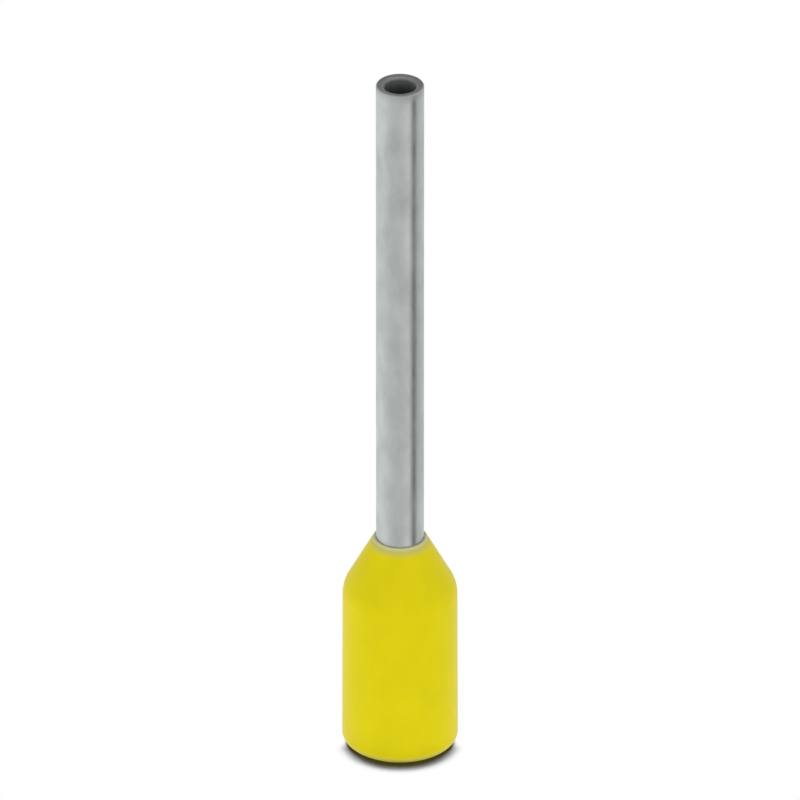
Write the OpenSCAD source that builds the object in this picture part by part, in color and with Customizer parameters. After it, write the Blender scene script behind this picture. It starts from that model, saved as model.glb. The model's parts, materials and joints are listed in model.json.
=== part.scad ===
// Insulated wire ferrule: a tinned tube with a flared mouth, gripped by a moulded plastic collar.
// The collar stands on the XY plane on its wire-entry end. +Z runs along the tube to its tip.

/* [Tube] */
// Length of bare tube above the collar
tube_length = 10; // [6:0.5:18]
// Diameter of the hole that takes the bared strands
tube_bore = 0.62; // [0.5:0.02:0.7]
// Thickness of the tube's wall
tube_wall = 0.155; // [0.145:0.005:0.2]
// Rounding of the tip's outer edge
tip_round = 0.04; // [0.02:0.01:0.07]
// Rounding of the tip's inner edge
tip_bore_round = 0.08; // [0.02:0.01:0.1]

/* [Flared mouth] */
// Angle that the flare opens at, from the axis
flare_angle = 26; // [22:1:35]
// Diameter across the outside of the flare
flare_d = 1.6; // [1.46:0.02:1.7]
// Radius of the bend between the tube and its flare
flare_bend = 0.25; // [0.1:0.05:0.35]
// Rounding left on the flare's cut edge
flare_edge = 0.04; // [0.01:0.01:0.06]

/* [Collar] */
// Diameter of the hole that takes the wire's insulation
entry_bore = 1.8; // [1.76:0.02:2]
// Thickness of the collar's wall at its mouth
collar_wall = 0.23; // [0.2:0.005:0.3]
// How much narrower the shoulder is than the mouth, so that the collar leaves its mould
collar_taper = 0.03; // [0:0.005:0.06]
// Height of the near-straight part, from the mouth to the shoulder
barrel_length = 3.4; // [2.6:0.05:5]
// Height of the cone, from the shoulder to the neck's rim
cone_length = 1.1; // [1:0.05:1.6]
// Thickness of the neck's rim round the tube
neck_wall = 0.055; // [0.05:0.005:0.12]
// Length of the neck's straight grip on the tube
neck_grip = 0.45; // [0.3:0.05:0.7]
// Gap all round between the tube and the collar that grips it
grip_clearance = 0; // [0:0.005:0.02]

/* [Collar edges] */
// Rounding of the shoulder
shoulder_round = 0.6; // [0.1:0.05:1]
// Rounding of the mouth's outer edge
mouth_round = 0.15; // [0.04:0.01:0.17]
// Rounding of the mouth's inner edge, which leads the insulation in
lead_in = 0.04; // [0.02:0.01:0.06]
// Rounding of the neck's rim
neck_round = 0.045; // [0.01:0.005:0.045]
// Rounding where the entry hole meets the funnel
funnel_round = 0.2; // [0.1:0.05:0.4]

/* [Hidden] */

around = 128;  // sides of a turned shape in the preview
arc_steps = 8; // flats along each rounded corner

collar_height = barrel_length + cone_length;
tip_z = collar_height + tube_length;

bore_r = tube_bore / 2;
tube_r = bore_r + tube_wall;
flare_r = flare_d / 2;

entry_r = entry_bore / 2;
grip_r = tube_r + grip_clearance;
neck_r = grip_r + neck_wall;
mouth_r = entry_r + collar_wall;
shoulder_r = mouth_r - collar_taper / 2;

// The flare seats in a funnel that opens downwards from the foot of the neck's grip.
seat_z = collar_height - neck_grip;

// Height in a cone of the flare's angle whose throat, of radius throat_r, lies at z.
function funnel_height(z, throat_r, r) = z - (r - throat_r) / tan(flare_angle);

// Corner of an outline: its radius and height, and the radius that rounds it.
function corner(r, z, round = 0) = [r, z, round];

function place(corner) = [corner.x, corner.y];
function unit(v) = v / norm(v);

// Points along the arc that rounds corner b, which lies between corners a and c.
function arc(a, b, c) =
    let (
        to_a = unit(place(a) - place(b)),
        to_c = unit(place(c) - place(b)),
        half = acos(to_a * to_c) / 2,
        centre = place(b) + unit(to_a + to_c) * b.z / sin(half),
        start = place(b) + to_a * b.z / tan(half) - centre,
        end = place(b) + to_c * b.z / tan(half) - centre,
        sweep = 180 - 2 * half
    )
    [for (i = [0:arc_steps])
        let (angle = sweep * i / arc_steps)
        centre + (start * sin(sweep - angle) + end * sin(angle)) / sin(sweep)];

// A closed outline with its corners rounded.
function rounded(corners) =
    let (n = len(corners))
    [for (i = [0:n - 1])
        let (b = corners[i])
        each b.z > 0 ? arc(corners[(i + n - 1) % n], b, corners[(i + 1) % n]) : [place(b)]];

module turned(corners) {
    rotate_extrude($fn = around) polygon(rounded(corners));
}

// Drawn tube, its tip cut and rounded off, its foot flared and the wall kept all the way.
module tube() {
    inner_seat_z = seat_z - tube_wall * tan(flare_angle / 2);
    lip_r = flare_r - tube_wall * cos(flare_angle);
    color("silver")
        turned([
            corner(bore_r, tip_z, tip_bore_round),
            corner(bore_r, inner_seat_z, flare_bend + tube_wall),
            corner(lip_r, funnel_height(inner_seat_z, bore_r, lip_r), flare_edge),
            corner(flare_r, funnel_height(seat_z, tube_r, flare_r), flare_edge),
            corner(tube_r, seat_z, flare_bend),
            corner(tube_r, tip_z, tip_round)
        ]);
}

// Moulded collar: entry hole, funnel that seats the flare, and a neck that grips the tube.
module collar() {
    color("gold")
        turned([
            corner(entry_r, 0, lead_in),
            corner(entry_r, funnel_height(seat_z, grip_r, entry_r), funnel_round),
            corner(grip_r, seat_z, flare_bend),
            corner(grip_r, collar_height),
            corner(neck_r, collar_height, neck_round),
            corner(shoulder_r, barrel_length, shoulder_round),
            corner(mouth_r, 0, mouth_round)
        ]);
}

tube();
collar();
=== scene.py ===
"""Insulated wire ferrule: a tinned copper tube gripped by a yellow moulded collar, standing on its mouth."""

import bmesh
import bpy
import json
import math
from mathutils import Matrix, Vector, noise


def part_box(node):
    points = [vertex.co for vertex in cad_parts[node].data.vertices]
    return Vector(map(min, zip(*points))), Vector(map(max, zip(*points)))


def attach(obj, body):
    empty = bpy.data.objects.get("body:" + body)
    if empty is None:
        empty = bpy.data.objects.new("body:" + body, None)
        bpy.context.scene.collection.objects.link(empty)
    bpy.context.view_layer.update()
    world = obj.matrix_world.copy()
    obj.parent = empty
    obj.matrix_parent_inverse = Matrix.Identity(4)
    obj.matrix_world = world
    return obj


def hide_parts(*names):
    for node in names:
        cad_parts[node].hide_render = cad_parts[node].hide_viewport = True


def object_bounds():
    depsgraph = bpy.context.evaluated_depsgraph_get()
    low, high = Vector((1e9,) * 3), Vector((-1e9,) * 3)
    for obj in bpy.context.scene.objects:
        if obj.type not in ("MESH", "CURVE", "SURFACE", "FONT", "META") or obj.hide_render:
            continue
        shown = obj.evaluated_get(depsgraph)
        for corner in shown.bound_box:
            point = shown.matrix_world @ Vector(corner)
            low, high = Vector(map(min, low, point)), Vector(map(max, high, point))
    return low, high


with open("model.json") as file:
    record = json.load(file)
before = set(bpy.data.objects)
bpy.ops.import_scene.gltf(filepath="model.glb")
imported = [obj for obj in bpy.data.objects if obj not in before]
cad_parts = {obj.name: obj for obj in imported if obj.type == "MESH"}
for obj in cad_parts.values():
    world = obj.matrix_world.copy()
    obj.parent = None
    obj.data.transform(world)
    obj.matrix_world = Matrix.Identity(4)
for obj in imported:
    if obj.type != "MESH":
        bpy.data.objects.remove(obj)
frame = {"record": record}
cad_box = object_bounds()

# ---- Tube ----------------------------------------------------------------------------------
# Seamless copper tube, drawn thin and tin-plated, cut square at the tip. Its foot is flared
# with the wall kept, so that the strands of the wire slide in past no edge.

MM = 0.001
MICRON = 0.001 * MM
mounts = {mount["name"]: mount for mount in frame["record"]["mounts"]}
tube_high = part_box("tube")[1]
collar_low, collar_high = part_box("collar")

tube_r = mounts["crimp_barrel"]["dims"]["r_mm"] * MM
bore_r = mounts["conductor_bore"]["dims"]["r_mm"] * MM
tube_wall = tube_r - bore_r
flare_r = 0.8 * MM
flare_angle = math.radians(26)
flare_bend = 0.25 * MM
flare_edge = 0.04 * MM
tip_round = 0.04 * MM
tip_bore_round = 0.08 * MM
neck_grip = 0.45 * MM
throat_z = collar_high.z - neck_grip


def funnel_height(z, throat_r, r):
    """Height in a cone of the flare's angle whose throat, of radius throat_r, lies at z."""
    return z - (r - throat_r) / math.tan(flare_angle)


def turned(name, outline, around=256, flats=10, weld=0.1 * MICRON):
    """A turned piece, from its closed outline of (radius, height, rounding) corners."""
    bm = bmesh.new()
    ring = [bm.verts.new((r, 0, z)) for r, z, rounding in outline]
    edges = [bm.edges.new(pair) for pair in zip(ring, ring[1:] + ring[:1])]
    bmesh.ops.spin(bm, geom=ring + edges, cent=(0, 0, 0), axis=(0, 0, 1), angle=math.tau,
                   steps=around, use_merge=True, use_duplicate=False)
    bmesh.ops.remove_doubles(bm, verts=bm.verts, dist=weld)
    for i, (r, z, rounding) in enumerate(outline):
        if not rounding:
            continue
        here = Vector((r, z))
        before = Vector(outline[i - 1][:2]) - here
        after = Vector(outline[(i + 1) % len(outline)][:2]) - here
        circle = [
            edge for edge in bm.edges
            if all((Vector((v.co.xy.length, v.co.z)) - here).length < MICRON for v in edge.verts)
        ]
        bmesh.ops.bevel(bm, geom=circle, offset=rounding / math.tan(before.angle(after) / 2),
                        offset_type="OFFSET", segments=flats, profile=0.5, affect="EDGES",
                        clamp_overlap=True, material=-1)
    bmesh.ops.recalc_face_normals(bm, faces=bm.faces)
    mesh = bpy.data.meshes.new(name)
    bm.to_mesh(mesh)
    bm.free()
    mesh.shade_smooth()
    piece = bpy.data.objects.new(name, mesh)
    bpy.context.scene.collection.objects.link(piece)
    return piece


inner_throat_z = throat_z - tube_wall * math.tan(flare_angle / 2)
lip_r = flare_r - tube_wall * math.cos(flare_angle)
tube = turned("tinned_tube", [
    (bore_r, tube_high.z, tip_bore_round),
    (bore_r, inner_throat_z, flare_bend + tube_wall),
    (lip_r, funnel_height(inner_throat_z, bore_r, lip_r), flare_edge),
    (flare_r, funnel_height(throat_z, tube_r, flare_r), flare_edge),
    (tube_r, throat_z, flare_bend),
    (tube_r, tube_high.z, tip_round),
])

# The cut face is a few microns uneven, in shallow dips.
cut_depth = 5 * MICRON
dip_width = 0.25 * MM
for vertex in tube.data.vertices:
    if vertex.co.z > tube_high.z - tip_round:
        dip = 0.5 + 0.5 * noise.noise(vertex.co / dip_width)
        vertex.co.z -= cut_depth * dip


def add(tree, kind, inputs=(), **settings):
    """A new node with its settings and inputs, which are values or other nodes' outputs."""
    made = tree.nodes.new(kind)
    for setting, value in settings.items():
        setattr(made, setting, value)
    for socket, value in dict(inputs).items():
        if isinstance(value, bpy.types.NodeSocket):
            tree.links.new(value, made.inputs[socket])
        else:
            made.inputs[socket].default_value = value
    return made


def finish_of(piece, name, slot, **values):
    """Gives the piece a Principled material. The values sit on the shader's own sockets."""
    made = bpy.data.materials.new(name)
    made.use_nodes = True
    shader = made.node_tree.nodes["Principled BSDF"]
    for socket, value in values.items():
        shader.inputs[socket.replace("_", " ")].default_value = value
    piece.data.materials.append(made)
    return made.node_tree, shader


def own_place(tree):
    """Each point's place in the object's own coordinates."""
    return add(tree, "ShaderNodeTexCoord").outputs["Object"]


def along(tree, axis, place):
    """How far a place lies along an axis."""
    return add(tree, "ShaderNodeSeparateXYZ", {"Vector": place}).outputs[axis]


def grain(tree, per_mm, detail=3, rough=0.5):
    """Noise that has so many grains to the millimetre along each axis."""
    scale = add(tree, "ShaderNodeMapping", {
        "Vector": own_place(tree),
        "Scale": [count / MM for count in per_mm],
    })
    return add(tree, "ShaderNodeTexNoise", {
        "Vector": scale.outputs["Vector"],
        "Scale": 1,
        "Detail": detail,
        "Roughness": rough,
    }).outputs["Fac"]


def spread(tree, value, start, end, low=0, high=1, passage="LINEAR"):
    """The value's run from start to end, spread from low to high and held level beyond."""
    return add(tree, "ShaderNodeMapRange", {
        "Value": value,
        "From Min": start,
        "From Max": end,
        "To Min": low,
        "To Max": high,
    }, interpolation_type=passage).outputs["Result"]


def reckon(tree, operation, *values):
    """One step of arithmetic on values or other nodes' outputs."""
    return add(tree, "ShaderNodeMath", enumerate(values), operation=operation).outputs["Value"]


def ramp(tree, value, stops):
    """Colours that pass from one to the next, from their (value, colour) stops."""
    made = add(tree, "ShaderNodeValToRGB", {"Fac": value})
    elements = made.color_ramp.elements
    while len(elements) < len(stops):
        elements.new(1)
    for element, (position, colour) in zip(elements, stops):
        element.position = position
        element.color = (*colour, 1)
    return made.outputs["Color"]


def relief(tree, height, depth, **under):
    """Relief of a depth, from noise, over the Normal of an earlier relief if one is given."""
    return add(tree, "ShaderNodeBump", {
        "Height": height,
        "Strength": 1,
        "Distance": depth,
        **under,
    }).outputs["Normal"]


# Nearly all of the noise lies between these two values.
noise_low, noise_high = 0.3, 0.7

tin, tin_shader = finish_of(tube, "tin_plate", "tinned_copper", Metallic=1.0)
tint = ramp(tin, grain(tin, (2.2, 2.2, 1.1), detail=5, rough=0.6), [
    (noise_low, (0.405, 0.429, 0.419)),
    (noise_high, (0.54, 0.564, 0.554)),
])
satin = spread(tin, grain(tin, (5, 5, 3), detail=4), noise_low, noise_high, 0.30, 0.38)

# The cut face and the bore are duller and darker than the outside. The outside is a little
# so near the tip. Painted shade darkens the bore more the deeper it goes.
tip_fade = 0.2 * MM
tip_dullness = 0.6
cut_roughness = 0.7
cut_shade = 0.72
dark_from = 0.4 * MM
painted_depth_shade = 0.5
spot = own_place(tin)
across = add(tin, "ShaderNodeVectorMath", {0: spot, 1: (1, 1, 0)}, operation="MULTIPLY")
from_axis = add(tin, "ShaderNodeVectorMath", {0: across.outputs["Vector"]}, operation="LENGTH")
inside = spread(tin, from_axis.outputs["Value"], tube_r - 0.3 * tip_round, tube_r - tip_round)
height = along(tin, "Z", spot)
tip = spread(tin, height, tube_high.z - tip_fade, tube_high.z, 0, tip_dullness)
dull = reckon(tin, "MAXIMUM", inside, tip)
roughness = add(tin, "ShaderNodeMix", {"Factor": dull, "A": satin, "B": cut_roughness})
shade = spread(tin, dull, 0, 1, 1, cut_shade)
# Painted shade in the bore, stronger with depth below the tip.
depth = spread(tin, height, tube_high.z - dark_from, tube_high.z - tip_bore_round, 1, 0)
painted_depth_shade_mask = reckon(tin, "MULTIPLY", inside, depth)
colour = add(tin, "ShaderNodeVectorMath", {
    0: tint,
    "Scale": reckon(tin, "MULTIPLY_ADD", painted_depth_shade_mask, -painted_depth_shade, shade),
}, operation="SCALE")
tin.links.new(roughness.outputs["Result"], tin_shader.inputs["Roughness"])
tin.links.new(colour.outputs["Vector"], tin_shader.inputs["Base Color"])

drawing_lines = relief(tin, grain(tin, (45, 45, 0.5), detail=2), 1.0 * MICRON)
crystals = relief(tin, grain(tin, (30, 30, 30)), 0.8 * MICRON, Normal=drawing_lines)
tin.links.new(crystals, tin_shader.inputs["Normal"])

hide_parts("tube")
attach(tube, "root")

# ---- Collar --------------------------------------------------------------------------------
# Polypropylene, moulded in yellow. The wire's insulation enters at the mouth below, a cone
# leads up to the neck, and the neck grips the tube above its flare.

entry_r = mounts["wire_entry"]["dims"]["r_mm"] * MM
collar_wall = 0.23 * MM
collar_taper = 0.03 * MM
neck_wall = 0.055 * MM
shoulder_z = 3.4 * MM
lead_in = 0.04 * MM
funnel_round = 0.2 * MM
neck_round = 0.045 * MM
shoulder_round = 0.6 * MM
mouth_round = 0.15 * MM
mouth_r = entry_r + collar_wall
collar = turned("moulded_collar", [
    (entry_r, collar_low.z, lead_in),
    (entry_r, funnel_height(throat_z, tube_r, entry_r), funnel_round),
    (tube_r, throat_z, flare_bend),
    (tube_r, collar_high.z, 0),
    (tube_r + neck_wall, collar_high.z, neck_round),
    (mouth_r - collar_taper / 2, shoulder_z, shoulder_round),
    (mouth_r, collar_low.z, mouth_round),
])

yellow, yellow_shader = finish_of(collar, "yellow_polypropylene", "yellow_plastic", IOR=1.49,
                                  Specular_IOR_Level=0.1)
dye = ramp(yellow, grain(yellow, (1.6, 1.6, 1.2), detail=4), [
    (noise_low, (0.72, 0.62, 0.001)),
    (noise_high, (0.78, 0.66, 0.001)),
])

# The mouth's rounded edge is painted paler, a painted reflection of the white table. The neck
# greys towards the tube and is paler at the join: painted light over the crease's shade.
neck_grey_band = 0.19 * MM
height = along(yellow, "Z", own_place(yellow))
# Painted reflection of the white table along the mouth's rounded edge.
mouth_edge = spread(yellow, height, collar_low.z + 1.2 * mouth_round,
                    collar_low.z + 0.3 * mouth_round, 0, 0.45)
painted_edge_reflection = add(yellow, "ShaderNodeMixRGB", {
    "Fac": mouth_edge,
    "Color1": dye,
    "Color2": (0.95, 0.88, 0.26, 1),
})
# Greyer towards the neck's top, then paler at the join: painted light over the crease's shade.
neck_edge = spread(yellow, height, collar_high.z - neck_grey_band, collar_high.z)
dye_and_painted_light = add(yellow, "ShaderNodeMixRGB", {
    "Fac": spread(yellow, neck_edge, 0, 0.75, passage="SMOOTHSTEP"),
    "Color1": painted_edge_reflection.outputs["Color"],
    "Color2": ramp(yellow, neck_edge, [(0.8, (0.58, 0.54, 0.12)), (1, (0.71, 0.69, 0.42))]),
})
gloss = spread(yellow, grain(yellow, (8, 8, 8)), noise_low, noise_high, 0.36, 0.46)
mould_skin = relief(yellow, grain(yellow, (14, 14, 14), detail=4), 1.5 * MICRON)
yellow.links.new(dye_and_painted_light.outputs["Color"], yellow_shader.inputs["Base Color"])
yellow.links.new(gloss, yellow_shader.inputs["Roughness"])
yellow.links.new(mould_skin, yellow_shader.inputs["Normal"])

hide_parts("collar")
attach(collar, "root")

# ---- Table ---------------------------------------------------------------------------------
# White table that the ferrule stands on. It glows its own white, which also lights the ferrule,
# and its only shadow is painted: dark under the mouth's rounded edge and just in front of it.

half_width = 0.5
bm = bmesh.new()
bmesh.ops.create_grid(bm, x_segments=1, y_segments=1, size=half_width)
sheet = bpy.data.meshes.new("table")
bm.to_mesh(sheet)
bm.free()
table = bpy.data.objects.new("table", sheet)
bpy.context.scene.collection.objects.link(table)

white = bpy.data.materials.new("white_table")
white.use_nodes = True
sheet.materials.append(white)
tree = white.node_tree
tree.nodes.clear()

# The painted shadow is darkest where the collar hides most of the sky that is up and behind,
# worked out by ambient occlusion; no lamp casts it. Towards the back it fades out.
shadow_reach = 0.52 * MM
fade_from = -0.55 * MM
openness_added = 0.32
up_and_behind = add(tree, "ShaderNodeCombineXYZ", {"X": 0, "Y": 0.64, "Z": 0.77})
openness = add(tree, "ShaderNodeAmbientOcclusion", {
    "Distance": shadow_reach,
    "Normal": up_and_behind.outputs["Vector"],
})
backwards = along(tree, "Y", own_place(tree))
painted_shadow_fade = spread(tree, backwards, fade_from, 0, 0, openness_added, passage="SMOOTHSTEP")
# The painted shadow's darkest stop is olive, painted light bounced from the yellow collar.
painted_shadow = ramp(tree, reckon(tree, "ADD", openness.outputs["AO"], painted_shadow_fade), [
    (0.38, (0.055, 0.046, 0.006)),
    (0.45, (0.09, 0.085, 0.05)),
    (0.50, (0.18, 0.18, 0.17)),
    (0.57, (0.48, 0.48, 0.48)),
    (0.64, (0.85, 0.85, 0.85)),
    (0.72, (1, 1, 1)),
])
glow = add(tree, "ShaderNodeEmission", {"Color": painted_shadow, "Strength": 1})
add(tree, "ShaderNodeOutputMaterial", {"Surface": glow.outputs["Emission"]})
table.visible_glossy = False

# ---- Light and camera ----------------------------------------------------------------------
# Soft light from a white tent all round, with grey levels for its panels. The metal mirrors
# them, and the dark seam between two of them. The camera looks in on white, with a long lens.

tent = bpy.data.worlds.new("tent")
bpy.context.scene.world = tent
tent.use_nodes = True
tree = tent.node_tree
tree.nodes.clear()


def panel(strength, colour=(1, 1, 1, 1)):
    """Light of one part of the tent."""
    return add(tree, "ShaderNodeBackground", {
        "Strength": strength,
        "Color": colour,
    }).outputs["Background"]


def greys(value, stops):
    """Grey levels that pass from one to the next, from their (value, level) stops."""
    return ramp(tree, value, [(position, (level,) * 3) for position, level in stops])


def mixed(factor, first, second):
    """The first light where the factor is 0, and the second where it is 1."""
    return add(tree, "ShaderNodeMixShader", {0: factor, 1: first, 2: second}).outputs["Shader"]


towards = add(tree, "ShaderNodeTexCoord").outputs["Generated"]
upwards = along(tree, "Z", towards)
# Share of a turn round the ferrule: 0.25 towards the camera and 0.75 straight behind.
bearing = add(tree, "ShaderNodeTexGradient", {"Vector": towards}, gradient_type="RADIAL").outputs["Fac"]
straight_behind = 0.75
below = panel(1.15, greys(bearing, [
    (0.00, 1.00), (0.06, 0.90), (0.14, 0.78), (0.26, 0.74), (0.32, 0.81), (0.39, 1.00),
    (0.42, 0.09), (0.455, 0.09), (0.49, 0.75), (0.75, 0.87), (1.00, 1.00),
]))
above = panel(1.0, greys(upwards, [
    (0.00, 1.05), (0.30, 1.05), (0.50, 0.93), (0.85, 0.75), (1.00, 0.75),
]))
# A dim panel behind, above eye level, for the cut face and the bore to mirror.
dim_panel = panel(0.16)
aside = reckon(tree, "ABSOLUTE", reckon(tree, "SUBTRACT", bearing, straight_behind))
near_back = spread(tree, aside, 0.16, 0.09)
raised = spread(tree, upwards, 0.15, 0.35)
upper = mixed(reckon(tree, "MULTIPLY", near_back, raised), above, dim_panel)
cloth = mixed(spread(tree, upwards, -0.1, 0.1), below, upper)
backdrop = panel(1)
seen = add(tree, "ShaderNodeLightPath").outputs["Is Camera Ray"]
add(tree, "ShaderNodeOutputWorld", {"Surface": mixed(seen, cloth, backdrop)})

sensor_width = 36
view_width = 15.453 * MM
distance = 0.4
tilt = math.radians(29.8)
aim_above_middle = 0.29 * MM
camera = bpy.data.objects.new("camera", bpy.data.cameras.new("camera"))
bpy.context.scene.collection.objects.link(camera)
bpy.context.scene.camera = camera
camera.data.sensor_width = sensor_width
camera.data.lens = sensor_width * distance / view_width
camera.data.clip_start = 0.01
camera.data.clip_end = 10
aim = Vector((0, 0, (cad_box[0].z + cad_box[1].z) / 2 + aim_above_middle))
away = Vector((0, -math.cos(tilt), math.sin(tilt)))
camera.location = aim + away * distance
camera.rotation_mode = "QUATERNION"
camera.rotation_quaternion = away.to_track_quat("Z", "Y")

bpy.context.scene.view_settings.view_transform = "Standard"
